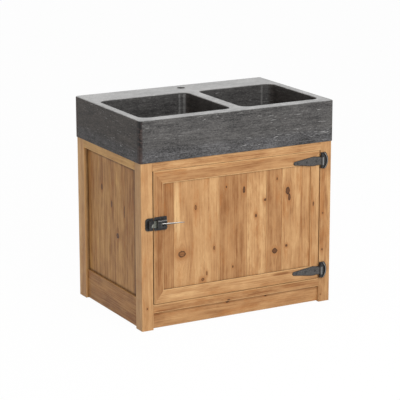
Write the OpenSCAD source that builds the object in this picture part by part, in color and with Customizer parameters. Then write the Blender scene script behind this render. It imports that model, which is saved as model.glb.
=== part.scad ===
// Kitchen base cabinet: a pine frame with one framed door on strap hinges and a lever latch,
// carrying a double sink carved from one block of stone.
//
// Pieces are drawn in the maker's frame: x runs right from the left post's outer face, y runs
// back from the posts' front faces and z runs up from the floor. place() then moves that frame
// so that the origin is under the middle of the whole object, hardware included.
// Hardware is drawn on the face it is screwed to: x right, y up and z out of the face.

/* [Woodwork] */
// Width over the corner posts
cabinet_w = 890; // [760:1:1200]
// Depth over the corner posts
cabinet_d = 592; // [540:1:700]
// Height of the woodwork under the sink
cabinet_h = 695; // [620:1:800]
// Small flat planed on every long edge
arris = 1.5; // [0.5:0.1:3]

/* [Posts] */
// Width of every post, seen from the front
post_w = 52; // [46:1:70]
// Depth of the front posts, seen from the side
front_post_d = 55; // [50:1:75]
// Depth of the back posts, seen from the side
back_post_d = 63; // [50:1:80]

/* [Rails] */
// Height of the rails that carry the sink
top_rail_h = 36; // [28:1:60]
// Thickness of the front rails
front_rail_t = 40; // [30:1:45]
// Thickness of the back rails
back_rail_t = 30; // [24:1:45]
// Inner face of the side rails, measured in from the outer faces of the posts
side_rail_in = 42; // [36:1:50]
// Height of the front rail under the door
sill_h = 34; // [24:1:50]
// Top of that rail above the floor
sill_top = 104; // [90:1:140]
// Height of the tenons' cut-back above and below, on the front and back rails
tenon_shoulder = 5; // [3:1:8]
// Thickness of those tenons
tenon_t = 12; // [8:1:16]
// Length of those tenons
tenon_l = 25; // [15:1:28]

/* [Plinth] */
// Gap between the floor and every lower board
floor_gap = 2; // [1:0.5:15]
// How far the front plinth board is set back
plinth_set = 14; // [4:1:19]
// Thickness of the plinth board
plinth_t = 20; // [15:1:26]

/* [Sides] */
// Top of the lower side boards above the floor
side_board_top = 126; // [110:1:170]
// How far the lower side boards are set in from the posts
side_board_set = 9; // [4:1:12]
// How far the panels are set in from the posts
side_panel_set = 17; // [13:1:22]
// Thickness of the side panels
side_panel_t = 11; // [8:1:14]
// Depth of every groove that holds a panel
groove_d = 10; // [6:1:12]
// Play of a panel in its groove, on each side
groove_play = 0.3; // [0.2:0.1:0.8]

/* [Back] */
// Top of the lower back rail above the floor
back_sill_top = 84; // [60:1:100]
// Middle of the back rail under the plumbing gap
back_rail_z = 430; // [350:1:520]
// Height of that rail
back_mid_h = 45; // [35:1:70]
// Thickness of the back boards
back_board_t = 12; // [8:1:15]
// Number of back boards
back_board_n = 6; // [4:1:9]

/* [Floor of the cabinet] */
// Thickness of the floor boards
floor_t = 18; // [14:1:22]
// Number of floor boards
floor_board_n = 5; // [4:1:7]
// Side of the square battens under the floor boards
batten = 22; // [16:1:24]
// Gap between loose boards
board_gap = 1; // [0.5:0.1:2]
// Width of the bearer under the sink
bearer_w = 60; // [40:1:90]
// Middle of that bearer behind the posts' front faces
bearer_y = 400; // [370:1:440]

/* [Door] */
// Gap above and below the door
door_gap = 1.5; // [1:0.1:4]
// Gap beside the hinges
hinge_gap = 3; // [2:0.1:5]
// Gap beside the latch
latch_gap = 4.5; // [2:0.1:6]
// Flat planed on the outer front edges of the door
door_arris = 3.5; // [1:0.1:4]
// Thickness of the door frame
door_t = 24; // [21:1:30]
// Width of both stiles
stile_w = 43; // [40:1:70]
// Height of the door's top rail
door_top_h = 54; // [50:1:80]
// Height of the door's bottom rail
door_bottom_h = 57; // [50:1:80]
// How far the panel is set back from the frame
door_panel_set = 7; // [4:1:10]
// Thickness of the door's panel boards
door_panel_t = 9; // [7:1:10]
// Length of the hidden tenons in the door's mitred corners
door_tenon_l = 26; // [18:1:30]
// Depth of the strip that the door shuts against
stop_d = 15; // [10:1:20]
// Width of that strip
stop_w = 18; // [12:1:24]

/* [Hinges] */
// Middle of the upper hinge below the door's top
hinge_top = 41.5; // [38:0.5:60]
// Middle of the lower hinge above the door's bottom
hinge_bottom = 36; // [30:1:60]
// Height of the leaf on the post
leaf_h = 68; // [62:1:90]
// Width of the leaf from the pin's axis to its rim
leaf_w = 33; // [31:1:40]
// Thickness of the leaf
leaf_t = 4; // [3:0.5:5]
// Height of the leaf's raised rim above the post
rim_h = 9; // [6:0.5:10]
// Width of that rim
rim_w = 8; // [5:0.5:9]
// Distance of the pin's axis from the inner edge of the post
pin_in = 2; // [1:0.5:4]
// Distance of the pin's axis in front of the door
pin_out = 11.5; // [11:0.5:15]
// Radius of the hinge pin
pin_r = 3; // [2.5:0.1:3.5]
// Radius of the knuckles
knuckle_r = 6.5; // [6:0.1:7]
// Height of the strap's knuckle
knuckle_h = 33; // [28:1:36]
// Height of each knuckle on the leaf
ear_h = 9.5; // [7:0.5:10]
// Gap between knuckles along the pin
knuckle_gap = 0.5; // [0.3:0.1:1]
// Radial clearance of every pin in its bore
pin_play = 0.05; // [0.03:0.01:0.1]
// Length of the strap from the pin's axis
strap_l = 134; // [120:1:180]
// Height of the strap at its widest
strap_h = 40; // [34:1:44]
// Distance of that widest place from the pin's axis
strap_wide_at = 36; // [30:1:46]
// Height of the strap at its tip
strap_tip_h = 16; // [12:1:20]
// Thickness of the strap
strap_t = 4.5; // [3.5:0.5:6]

/* [Latch] */
// Height of the latch's middle above the floor
latch_z = 443; // [300:1:520]
// Width of the latch's base
base_w = 57; // [54:1:70]
// Height of the latch's base
base_h = 56; // [50:1:64]
// Thickness of the base and of the keeper's plate
base_t = 3; // [2.5:0.5:4]
// Gap from the door's edge to the base
base_in = 0; // [0:0.5:4]
// Thickness of the sheet that closes the case's back
sheet_t = 1.5; // [1:0.1:2]
// Distance from the base's end to the case
case_in = 9; // [7:1:11]
// Length of the case
case_l = 40; // [38:1:44]
// Wall of the case
case_wall = 2.5; // [2:0.5:3]
// Front face of the case, measured out from the door
case_out = 22.5; // [22:0.5:28]

/* [Latch bolt] */
// Height of the bolt
bolt_h = 26; // [22:1:30]
// Thickness of the bolt
bolt_t = 6.5; // [5:0.5:7]
// Play round the bolt in the case
bolt_play = 0.4; // [0.3:0.1:0.6]
// Length of the bolt's body
bolt_l = 43; // [41:1:44]
// How far the bolt reaches over the post
bolt_throw = 5; // [4:0.1:5.2]
// How far the lever draws the bolt
bolt_travel = 6; // [5.8:0.1:6.5]

/* [Latch lever] */
// Angle through which the lever is pulled
lever_swing = 35; // [32:1:38]
// Distance of the lever's pin from the bolt's rear end
lever_in = 8; // [7:0.5:10]
// Radius of the lever's pin
lever_pin_r = 2.5; // [2:0.1:3]
// Radius of the lever's hub
hub_r = 4.5; // [4.2:0.1:5]
// Height of the lever's hub
hub_h = 12; // [10:1:16]
// Length of the lever from its pin
lever_l = 98; // [80:1:130]
// Angle at which the lever stands away from the door
lever_lean = 12; // [8:1:16]
// Angle at which the lever rises
lever_rise = 1; // [0:0.5:3]
// Height of the lever near its pin
lever_h = 8; // [7:0.5:10]
// Thickness of the lever near its pin
lever_t = 6; // [5:0.5:7]
// Radius of the round end that draws the bolt
cam_r = 2.4; // [2:0.1:2.6]

/* [Latch spring and keeper] */
// Outer radius of the spring's coil
spring_r = 3; // [2.6:0.1:3.2]
// Radius of the spring's wire
spring_wire_r = 0.45; // [0.35:0.05:0.55]
// Turns of the spring
spring_turns = 6; // [5:1:7]
// Width of the keeper
keeper_w = 35; // [33:1:40]
// Height of the keeper's plate
keeper_h = 52; // [46:1:60]
// Height of the keeper's nose
nose_h = 34; // [32:1:36]
// Width of the keeper's nose
nose_w = 24; // [18:1:25]
// Front of the keeper's nose at its high end
nose_out = 19; // [17:0.5:22]
// Depth of the slope on the keeper's nose
nose_slope = 8; // [6:0.5:8]
// Rise of the nose's slanting lower edge
nose_rise = 10; // [6:1:12]

/* [Screws] */
// Radius of a screw's head
screw_head_r = 3.6; // [3:0.1:4]
// Radius of a screw's shank
screw_r = 1.9; // [1.5:0.1:2.2]
// Length of a screw
screw_l = 17; // [12:1:20]
// Play round a screw
screw_play = 0.1; // [0.05:0.05:0.2]

/* [Sink] */
// Height of the stone block
sink_h = 173; // [150:1:220]
// How far the stone stands over the woodwork at both sides
over_side = 5; // [0:1:15]
// How far it stands over at the front
over_front = 4; // [0:1:10]
// How far it stands over at the back
over_back = 4; // [0:1:15]
// Radius of the stone's upright corners
stone_corner_r = 10; // [7:1:14]
// Radius of its upper edge
stone_edge_r = 5; // [2:0.5:6]
// Rim beside the bowls
rim_side = 35; // [28:1:60]
// Rim in front of the bowls
rim_front = 52; // [35:1:70]
// Wall between the bowls
divider_w = 50; // [35:1:80]
// Width of the left bowl
left_bowl_w = 412; // [300:1:440]
// Front to back size of both bowls
bowl_d = 396; // [320:1:410]
// Depth of both bowls
bowl_depth = 135; // [110:1:140]
// Radius of the bowls' upright corners
bowl_corner_r = 36; // [24:1:60]
// Radius between the bowls' walls and floor
bowl_floor_r = 18; // [10:1:22]
// Radius of the bowls' upper edge
bowl_edge_r = 5; // [3:0.5:6]
// Fall of each bowl's floor towards its waste
bowl_fall = 4; // [2:0.5:6]

/* [Sink holes] */
// Radius of the waste holes
waste_r = 45; // [30:0.5:46]
// Radius of the seat for a waste's flange
waste_seat_r = 57; // [52:0.5:60]
// Depth of that seat
waste_seat_d = 3; // [2:0.5:4]
// Radius of the tap hole
tap_r = 17.5; // [16:0.5:20]
// Distance of the tap hole from the stone's back edge
tap_back = 60; // [52:1:70]
// Thickness of stone left at the tap hole
tap_ledge_t = 50; // [35:1:60]
// Width of the pocket under the tap hole
tap_pocket_w = 120; // [90:1:160]
// Front to back size of that pocket
tap_pocket_d = 76; // [60:1:84]

/* [Hidden] */
$fn = 64;

pine = "burlywood";
pine_dark = "tan";
iron = "dimgray";
steel = "silver";
stone = "slategray";
eps = 0.5; // how far a cut runs past the face it starts from
board_play = 0.3; // between neighbouring panel boards

// Door and its opening
door_x0 = post_w + latch_gap;
door_x1 = cabinet_w - post_w - hinge_gap;
door_z0 = sill_top + door_gap;
top_rail_z = cabinet_h - top_rail_h;
door_z1 = top_rail_z - door_gap;
door_inner_x0 = door_x0 + stile_w;
door_inner_x1 = door_x1 - stile_w;
door_inner_z0 = door_z0 + door_bottom_h;
door_inner_z1 = door_z1 - door_top_h;
tenon_in = 2; // from the panel's groove to a hidden tenon
door_tenon_out = 12; // from the door's edge to a hidden tenon

// Relative widths of the boards in the door's panel and in the side panels
door_board_shares = [61, 211, 135, 93, 78, 146];
side_board_shares = [136, 140, 112, 107];

// Hinge
hinge_x = cabinet_w - post_w + pin_in;
hinge_zs = [door_z1 - hinge_top, door_z0 + hinge_bottom];
ear_z = knuckle_h / 2 + knuckle_gap;
leaf_r = 52; // radius of the leaf's round side
leaf_screw_x = (knuckle_r + leaf_w - rim_w) / 2;
leaf_screw_step = 15;
strap_screw_xs = [26, 72, 116];

// Latch, on the face of the door
base_x = door_x0 + base_in;
case_x0 = base_x + case_in;
case_x1 = case_x0 + case_l;
case_h = bolt_h + 2 * (bolt_play + case_wall);
bolt_out = sheet_t + bolt_play + 0.1;
bolt_mid_out = bolt_out + bolt_t / 2;
bolt_tip_x = post_w - bolt_throw;
bolt_end_x = bolt_tip_x + bolt_l;
lever_x = bolt_end_x - lever_in;
cam_reach = bolt_travel / sin(lever_swing);
lever_out = bolt_mid_out + cam_reach;
cam_play = 1; // play of the round end in the bolt's window, on each side
spring_l = case_x1 - case_wall - bolt_end_x;
lever_tip_t = 3;
lever_tip_h = 3;
base_screw_xs = [6, 27]; // from the base's outer edge, both over the stile
base_screw_in = 5; // from the base's upper and lower edges
keeper_screw_x = 6; // from the keeper's outer edge
keeper_screw_in = 9;

// The lever's tip is the foremost point and the stone's back face is the rearmost
reach = lever_out + lever_l * sin(lever_lean) + lever_tip_t / 2;
front_y = (reach - cabinet_d - over_back) / 2;

// Sink
sink_w = cabinet_w + 2 * over_side;
sink_d = cabinet_d + over_front + over_back;
right_bowl_w = sink_w - 2 * rim_side - divider_w - left_bowl_w;
tap_x = rim_side + left_bowl_w + divider_w / 2;

module place() {
    translate([-cabinet_w / 2, front_y, 0]) children();
}

// A face frame: x right, y up and z out of the cabinet's front, its origin at x and z
module on_front(x, z) {
    place() translate([x, 0, z]) rotate([90, 0, 0]) children();
}

// Section of a planed board; on the door's frame one of its corners is cut deeper
module planed(w, d, deep = -1) {
    cut = [for (k = [0:3]) k == deep ? door_arris : arris];
    polygon([[cut[0], 0], [w - cut[1], 0], [w, cut[1]], [w, d - cut[2]],
        [w - cut[2], d], [cut[3], d], [0, d - cut[3]], [0, cut[0]]]);
}

// Planed boards between two corners, running up, across and front to back
module upright(a, b, deep = -1) {
    translate(a) linear_extrude(b.z - a.z) planed(b.x - a.x, b.y - a.y, deep);
}
module across(a, b, deep = -1) {
    translate(a) rotate([90, 0, 90]) linear_extrude(b.x - a.x) planed(b.y - a.y, b.z - a.z, deep);
}
module lengthwise(a, b) {
    translate([a.x, b.y, a.z]) rotate([90, 0, 0]) linear_extrude(b.y - a.y) planed(b.x - a.x, b.z - a.z);
}

// A plain block between two corners
module block(a, b) {
    translate(a) cube(b - a);
}

// Mirrors the left side's pieces to the right side
module mirrored(right) {
    if (right) translate([cabinet_w, 0, 0]) mirror([1, 0, 0]) children();
    else children();
}

// Running total of the first n entries of a list
function total(list, n) = n <= 0 ? 0 : list[n - 1] + total(list, n - 1);

// Surface through rings of points, closed at both ends
module loft(rings) {
    n = len(rings[0]);
    m = len(rings);
    polyhedron(
        points = [for (ring = rings) each ring],
        faces = [
            [for (j = [0:n - 1]) j],
            [for (j = [n - 1:-1:0]) (m - 1) * n + j],
            for (i = [0:m - 2], j = [0:n - 1]) each [
                [i * n + j, (i + 1) * n + j, i * n + (j + 1) % n],
                [i * n + (j + 1) % n, (i + 1) * n + j, (i + 1) * n + (j + 1) % n]
            ]
        ]);
}

// A countersunk wood screw whose head is level with z = 0 and which points down
module wood_screw() {
    head_d = screw_head_r - screw_r;
    tip_d = 2 * screw_r;
    difference() {
        union() {
            translate([0, 0, -head_d]) cylinder(r1 = screw_r, r2 = screw_head_r, h = head_d);
            translate([0, 0, tip_d - screw_l]) cylinder(r = screw_r, h = screw_l - head_d - tip_d);
            translate([0, 0, -screw_l]) cylinder(r1 = 0.2, r2 = screw_r, h = tip_d);
        }
        translate([-screw_head_r, -0.5, -1]) cube([2 * screw_head_r, 1, 2]);
    }
}

// The hole that such a screw needs in a plate, and the pilot hole in wood under a plate
module plate_hole(t) {
    head_d = screw_head_r - screw_r;
    translate([0, 0, -eps]) cylinder(r = screw_r + screw_play, h = t + 2 * eps);
    translate([0, 0, t - head_d])
        cylinder(r1 = screw_r + screw_play, r2 = screw_head_r + screw_play, h = head_d);
    translate([0, 0, t]) cylinder(r = screw_head_r + screw_play, h = eps);
}
module pilot_hole(t) {
    translate([0, 0, t - screw_l - eps]) cylinder(r = screw_r + screw_play, h = screw_l - t + 2 * eps);
}

// Places of the screws on the face frame
module at_leaf_screws() {
    for (z = hinge_zs, k = [-1:1])
        on_front(hinge_x + leaf_screw_x, z + k * leaf_screw_step) children();
}
module at_strap_screws() {
    for (z = hinge_zs, x = strap_screw_xs) on_front(hinge_x - x, z) children();
}
module at_latch_screws() {
    for (x = base_screw_xs, k = [-1, 1])
        on_front(base_x + x, latch_z + k * (base_h / 2 - base_screw_in)) children();
}
module at_keeper_screws() {
    for (k = [-1, 1])
        on_front(post_w - keeper_w + keeper_screw_x, latch_z + k * (keeper_h / 2 - keeper_screw_in))
            children();
}

// Tenon on both ends of a front or back rail between the posts, and its mortises
module rail_tenons(y, z0, z1, play = 0) {
    block([post_w - tenon_l - play, y, z0 + tenon_shoulder],
        [cabinet_w - post_w + tenon_l + play, y + tenon_t, z1 - tenon_shoulder]);
}
module front_mortises(play) {
    y = (front_rail_t - tenon_t) / 2;
    rail_tenons(y, top_rail_z, cabinet_h, play);
    rail_tenons(y, sill_top - sill_h, sill_top, play);
}
module back_mortises(play) {
    y = cabinet_d - (back_rail_t + tenon_t) / 2;
    rail_tenons(y, top_rail_z, cabinet_h, play);
    rail_tenons(y, back_rail_z - back_mid_h / 2, back_rail_z + back_mid_h / 2, play);
    rail_tenons(y, floor_gap, back_sill_top, play);
}

// Groove along the posts that takes the side panel and the stub tenons of the side rails
module side_groove() {
    block([side_panel_set - groove_play, front_post_d - groove_d, floor_gap],
        [side_panel_set + side_panel_t + groove_play, cabinet_d - back_post_d + groove_d, cabinet_h + eps]);
}

// Posts
module front_post(right) {
    color(pine) difference() {
        place() mirrored(right) difference() {
            upright([0, 0, 0], [post_w, front_post_d, cabinet_h]);
            side_groove();
            front_mortises(1);
        }
        if (right) at_leaf_screws() pilot_hole(leaf_t);
        else at_keeper_screws() pilot_hole(base_t);
    }
}
module back_post(right) {
    color(pine) place() mirrored(right) difference() {
        upright([0, cabinet_d - back_post_d, 0], [post_w, cabinet_d, cabinet_h]);
        side_groove();
        back_mortises(1);
    }
}

// Front rails
module front_rail(z0, z1) {
    color(pine) place() {
        across([post_w, 0, z0], [cabinet_w - post_w, front_rail_t, z1]);
        rail_tenons((front_rail_t - tenon_t) / 2, z0, z1);
    }
}
module plinth_board() {
    color(pine_dark) place()
        across([post_w, plinth_set, floor_gap],
            [cabinet_w - post_w, plinth_set + plinth_t, sill_top - sill_h]);
}

// Side rails, with a groove for the panel and a stub tenon on each end
module side_rail(right, x0, z0, z1, groove_z) {
    tenon_x0 = side_panel_set;
    tenon_x1 = side_panel_set + side_panel_t;
    y0 = front_post_d;
    y1 = cabinet_d - back_post_d;
    color(pine) place() mirrored(right) difference() {
        union() {
            lengthwise([x0, y0, z0], [side_rail_in, y1, z1]);
            block([tenon_x0, y0 - groove_d + groove_play, z0], [tenon_x1, y1 + groove_d - groove_play, z1]);
        }
        block([tenon_x0 - groove_play, y0 - groove_d, groove_z],
            [tenon_x1 + groove_play, y1 + groove_d, groove_z + groove_d]);
    }
}
module side_top_rail(right) {
    side_rail(right, 0, top_rail_z, cabinet_h, top_rail_z);
}
module side_bottom_board(right) {
    side_rail(right, side_board_set, floor_gap, side_board_top, side_board_top - groove_d);
}

// Section of a panel board: a tongue on its far edge and a groove on its near edge
module tongued(w, t, near, far) {
    tongue = t / 3;
    tongue_l = 5;
    ease = 0.8;
    body = w - board_play;
    difference() {
        union() {
            polygon([[ease, 0], [body - ease, 0], [body, ease], [body, t], [0, t], [0, ease]]);
            if (far) translate([body, tongue]) square([tongue_l, tongue]);
        }
        if (near) translate([-eps, tongue - 0.1]) square([tongue_l + board_play + eps, tongue + 0.2]);
    }
}

// One board of a side panel, counted from the front
module side_board(right, k) {
    count = len(side_board_shares);
    y0 = front_post_d - groove_d + 1;
    scale_y = (cabinet_d - back_post_d + groove_d - 1 - y0) / total(side_board_shares, count);
    y = y0 + scale_y * total(side_board_shares, k);
    w = scale_y * side_board_shares[k];
    z0 = side_board_top - groove_d + 1;
    color(pine_dark) place() mirrored(right)
        translate([side_panel_set, y, z0]) mirror([1, 0, 0]) rotate(90)
            linear_extrude(top_rail_z + groove_d - 1 - z0)
                tongued(w, side_panel_t, k > 0, k < count - 1);
}

// Back rails and boards
module back_rail(z0, z1, groove_zs) {
    y0 = cabinet_d - back_rail_t;
    board_y = cabinet_d - (back_rail_t + back_board_t) / 2;
    color(pine) place() difference() {
        union() {
            across([post_w, y0, z0], [cabinet_w - post_w, cabinet_d, z1]);
            rail_tenons(cabinet_d - (back_rail_t + tenon_t) / 2, z0, z1);
        }
        for (z = groove_zs)
            block([post_w, board_y - groove_play, z],
                [cabinet_w - post_w, board_y + back_board_t + groove_play, z + groove_d]);
    }
}
module back_boards() {
    y = cabinet_d - (back_rail_t + back_board_t) / 2;
    z0 = back_sill_top - groove_d + 1;
    z1 = back_rail_z - back_mid_h / 2 + groove_d - 1;
    step = (cabinet_w - 2 * post_w) / back_board_n;
    color(pine_dark) place() for (k = [0:back_board_n - 1])
        upright([post_w + k * step + (k > 0 ? board_gap : 0), y, z0],
            [post_w + (k + 1) * step, y + back_board_t, z1]);
}

// Floor of the cabinet: boards notched round the posts, on two battens
module floor_boards() {
    y0 = front_rail_t;
    y1 = cabinet_d - back_rail_t;
    step = (y1 - y0) / floor_board_n;
    color(pine_dark) place() difference() {
        for (k = [0:floor_board_n - 1])
            across([side_rail_in, y0 + k * step + (k > 0 ? board_gap : 0), sill_top - floor_t],
                [cabinet_w - side_rail_in, y0 + (k + 1) * step, sill_top]);
        for (right = [false, true]) mirrored(right) {
            block([0, 0, 0], [post_w, front_post_d, cabinet_h]);
            block([0, cabinet_d - back_post_d, 0], [post_w, cabinet_d, cabinet_h]);
        }
    }
}
module floor_batten(right) {
    z1 = sill_top - floor_t;
    color(pine_dark) place() mirrored(right)
        lengthwise([side_rail_in, front_post_d, z1 - batten],
            [side_rail_in + batten, cabinet_d - back_post_d, z1]);
}

// Bearer under the sink, between its wastes and its tap, and the strip that the door shuts against
module sink_bearer() {
    color(pine_dark) place()
        across([side_rail_in, bearer_y - bearer_w / 2, top_rail_z],
            [cabinet_w - side_rail_in, bearer_y + bearer_w / 2, cabinet_h]);
}
module door_stop() {
    y = door_t + 0.4;
    color(pine_dark) place()
        upright([post_w, y, sill_top], [post_w + stop_w, y + stop_d, top_rail_z]);
}

// Door frame, mitred from its outer to its inner corners. Stiles and rails have a groove for the
// panel, and each rail has a hidden tenon at both ends.
module door_groove_block(x0, x1, z0, z1) {
    block([x0, door_panel_set - groove_play, z0], [x1, door_panel_set + door_panel_t + groove_play, z1]);
}
module door_mitre(points) {
    translate([0, door_t + eps, 0]) rotate([90, 0, 0]) linear_extrude(door_t + 2 * eps) polygon(points);
}
module door_tenons(z0, z1, play = 0) {
    block([door_inner_x0 - door_tenon_l - play, door_panel_set - play, z0 - play],
        [door_inner_x1 + door_tenon_l + play, door_panel_set + door_panel_t + play, z1 + play]);
}
module door_top_tenons(play = 0) {
    door_tenons(door_inner_z1 + groove_d + tenon_in, door_z1 - door_tenon_out, play);
}
module door_bottom_tenons(play = 0) {
    door_tenons(door_z0 + door_tenon_out, door_inner_z0 - groove_d - tenon_in, play);
}
module door_stile(hinge) {
    inner_x = hinge ? door_inner_x1 : door_inner_x0;
    outer_x = hinge ? door_x1 : door_x0;
    x0 = min(inner_x, outer_x);
    groove_x = hinge ? inner_x : inner_x - groove_d;
    color(pine) difference() {
        place() difference() {
            intersection() {
                upright([x0, 0, door_z0], [x0 + stile_w, door_t, door_z1], hinge ? 1 : 0);
                door_mitre([[outer_x, door_z0], [inner_x, door_inner_z0],
                    [inner_x, door_inner_z1], [outer_x, door_z1]]);
            }
            door_groove_block(groove_x, groove_x + groove_d, door_z0, door_z1);
            door_top_tenons(groove_play);
            door_bottom_tenons(groove_play);
        }
        if (hinge) at_strap_screws() pilot_hole(strap_t);
        else at_latch_screws() pilot_hole(base_t);
    }
}
module door_rail(z0, z1, outer_z, inner_z, groove_z, deep) {
    color(pine) difference() {
        place() difference() {
            union() {
                intersection() {
                    across([door_x0, 0, z0], [door_x1, door_t, z1], deep);
                    door_mitre([[door_x0, outer_z], [door_inner_x0, inner_z],
                        [door_inner_x1, inner_z], [door_x1, outer_z]]);
                }
                children();
            }
            door_groove_block(door_inner_x0 - groove_d, door_inner_x1 + groove_d,
                groove_z, groove_z + groove_d);
        }
        at_strap_screws() pilot_hole(strap_t);
    }
}
module door_top_rail() {
    door_rail(door_inner_z1, door_z1, door_z1, door_inner_z1, door_inner_z1, 3) door_top_tenons();
}
module door_bottom_rail() {
    door_rail(door_z0, door_inner_z0, door_z0, door_inner_z0, door_inner_z0 - groove_d, 0)
        door_bottom_tenons();
}

// One board of the door's panel, counted from the latch side
module door_board(k) {
    count = len(door_board_shares);
    x0 = door_inner_x0 - groove_d + 1;
    scale_x = (door_inner_x1 + groove_d - 1 - x0) / total(door_board_shares, count);
    z0 = door_inner_z0 - groove_d + 1;
    color(pine_dark) place()
        translate([x0 + scale_x * total(door_board_shares, k), door_panel_set, z0])
            linear_extrude(door_inner_z1 + groove_d - 1 - z0)
                tongued(scale_x * door_board_shares[k], door_panel_t, k > 0, k < count - 1);
}

// Outline of a hinge leaf: straight at the pin's side and round at the other
module leaf_outline() {
    intersection() {
        translate([-pin_in, -leaf_h / 2]) square([leaf_w + pin_in, leaf_h]);
        translate([leaf_w - leaf_r, 0]) circle(r = leaf_r, $fn = 96);
    }
}

// Hinge leaf on the post: plate, raised rim and two knuckles that hold the pin
module hinge_leaf(z) {
    color(iron) difference() {
        on_front(hinge_x, z) union() {
            linear_extrude(leaf_t) leaf_outline();
            intersection() {
                translate([leaf_w - leaf_r, 0, 0]) rotate_extrude($fn = 96)
                    polygon([[leaf_r - rim_w, 0], [leaf_r, 0], [leaf_r, leaf_t], [leaf_r - rim_w + 2, rim_h],
                        [leaf_r - rim_w, rim_h]]);
                translate([-pin_in, -leaf_h / 2, 0]) cube([leaf_w + pin_in, leaf_h, rim_h]);
            }
            for (k = [-1, 1]) translate([0, k * (ear_z + ear_h / 2), 0]) rotate([90, 0, 0])
                linear_extrude(ear_h, center = true) {
                    translate([0, pin_out]) circle(r = knuckle_r);
                    polygon([[-pin_in, 0], [knuckle_r + 5, 0], [knuckle_r + 2, leaf_t],
                        [knuckle_r, pin_out], [-pin_in, pin_out]]);
                }
        }
        on_front(hinge_x, z) translate([0, 0, pin_out]) rotate([90, 0, 0])
            cylinder(r = pin_r + pin_play, h = leaf_h, center = true);
        at_leaf_screws() plate_hole(leaf_t);
    }
}

// Outline of a strap, widest a little way from its knuckle and tapering to a round tip
module strap_outline(inset) {
    hull() {
        translate([-pin_in - hinge_gap - inset, 0]) square([1, knuckle_h - 2 * inset], center = true);
        translate([-strap_wide_at, 0]) square([6, strap_h - 2 * inset], center = true);
        translate([strap_tip_h / 2 - strap_l, 0]) circle(r = strap_tip_h / 2 - inset, $fn = 32);
    }
}

// Strap on the door: bevelled plate, knuckle and the web that joins them
module hinge_strap(z) {
    bevel = 1.8;
    edge_x = -pin_in - hinge_gap;
    color(iron) difference() {
        on_front(hinge_x, z) union() {
            hull() {
                linear_extrude(strap_t - bevel) strap_outline(0);
                linear_extrude(strap_t) strap_outline(bevel);
            }
            rotate([90, 0, 0]) linear_extrude(knuckle_h, center = true) {
                translate([0, pin_out]) circle(r = knuckle_r);
                polygon([[edge_x - 14, 0], [edge_x, 0], [edge_x, leaf_t + 0.5], [0, pin_out - knuckle_r],
                    [0, pin_out + knuckle_r], [edge_x + 2, pin_out + 2], [edge_x - 14, strap_t]]);
            }
        }
        on_front(hinge_x, z) translate([0, 0, pin_out]) rotate([90, 0, 0])
            cylinder(r = pin_r + pin_play, h = leaf_h, center = true);
        at_strap_screws() plate_hole(strap_t);
    }
}

// Hinge pin with a round button on each end
module hinge_pin(z) {
    half = ear_z + ear_h + 0.2;
    color(iron) on_front(hinge_x, z) translate([0, 0, pin_out]) rotate([-90, 0, 0]) rotate_extrude() {
        translate([0, -half]) square([pin_r, 2 * half]);
        for (k = [0, 1]) mirror([0, k]) translate([0, half]) intersection() {
            circle(r = knuckle_r - 2.2);
            square(knuckle_r);
        }
    }
}

// Latch case: a base plate with a hollow housing, cut for the bolt and the lever
module latch_case() {
    inner_x0 = case_x0 + case_wall - base_x;
    inner_x1 = case_x1 - case_wall - base_x;
    inner_h = case_h - 2 * case_wall;
    slot_h = hub_h + 1;
    pin_x = lever_x - base_x;
    round_r = 5;
    bevel = 2;
    color(iron) difference() {
        on_front(base_x, latch_z) difference() {
            union() {
                translate([0, 0, sheet_t]) linear_extrude(base_t - sheet_t) difference() {
                    translate([0, -base_h / 2]) square([base_w, base_h]);
                    for (x = [0, base_w], k = [-1, 1])
                        translate([x, k * base_h / 2]) rounding_corner(round_r, x > 0 ? -1 : 1, -k);
                }
                translate([case_x0 - base_x, 0, sheet_t]) rotate([90, 0, 90])
                    linear_extrude(case_l) polygon([
                        [-case_h / 2, 0], [case_h / 2, 0], [case_h / 2, case_out - sheet_t - bevel],
                        [case_h / 2 - bevel, case_out - sheet_t], [bevel - case_h / 2, case_out - sheet_t],
                        [-case_h / 2, case_out - sheet_t - bevel]]);
            }
            block([inner_x0, -inner_h / 2, 0], [inner_x1, inner_h / 2, case_out - case_wall]);
            block([-eps, -inner_h / 2, 0], [inner_x0 + eps, inner_h / 2, bolt_out + bolt_t + bolt_play]);
            block([pin_x - hub_r, -slot_h / 2, lever_out],
                [case_x1 - base_x + eps, slot_h / 2, case_out + eps]);
            translate([pin_x, 0, lever_out]) rotate([90, 0, 0])
                cylinder(r = lever_pin_r + pin_play, h = case_h + 2, center = true);
        }
        at_latch_screws() plate_hole(base_t);
    }
}

// What is cut from a square corner to leave a round one; it points towards sx, sy
module rounding_corner(r, sx, sy) {
    scale_pair = [sx, sy];
    difference() {
        translate([sx > 0 ? -eps : -r, sy > 0 ? -eps : -r]) square(r + eps);
        translate(r * scale_pair) circle(r = r);
    }
}

module latch_back_sheet() {
    color(steel) difference() {
        on_front(base_x, latch_z) linear_extrude(sheet_t)
            translate([1, 1 - base_h / 2]) square([base_w - 2, base_h - 2]);
        at_latch_screws() translate([0, 0, -eps]) cylinder(r = screw_r + 4 * screw_play, h = base_t);
    }
}

// Bolt: a flat bar with a sloping nose and a window for the lever's round end
module latch_bolt() {
    tail_r = spring_r - 2 * spring_wire_r - 0.4;
    tail_l = 5;
    pin_x = lever_x - bolt_tip_x;
    window = cam_r + cam_play;
    color(steel) on_front(bolt_tip_x, latch_z) difference() {
        union() {
            translate([0, 0, bolt_out]) rotate([90, 0, 0]) linear_extrude(bolt_h, center = true)
                polygon([[5, 0], [bolt_l, 0], [bolt_l, bolt_t], [0, bolt_t], [0, bolt_t - 1.5]]);
            translate([bolt_l - 1, 0, bolt_mid_out]) rotate([0, 90, 0]) cylinder(r = tail_r, h = tail_l + 1);
        }
        block([pin_x - window, -hub_h / 2 - 0.6, 0], [pin_x + window, hub_h / 2 + 0.6, lever_out]);
    }
}

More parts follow.
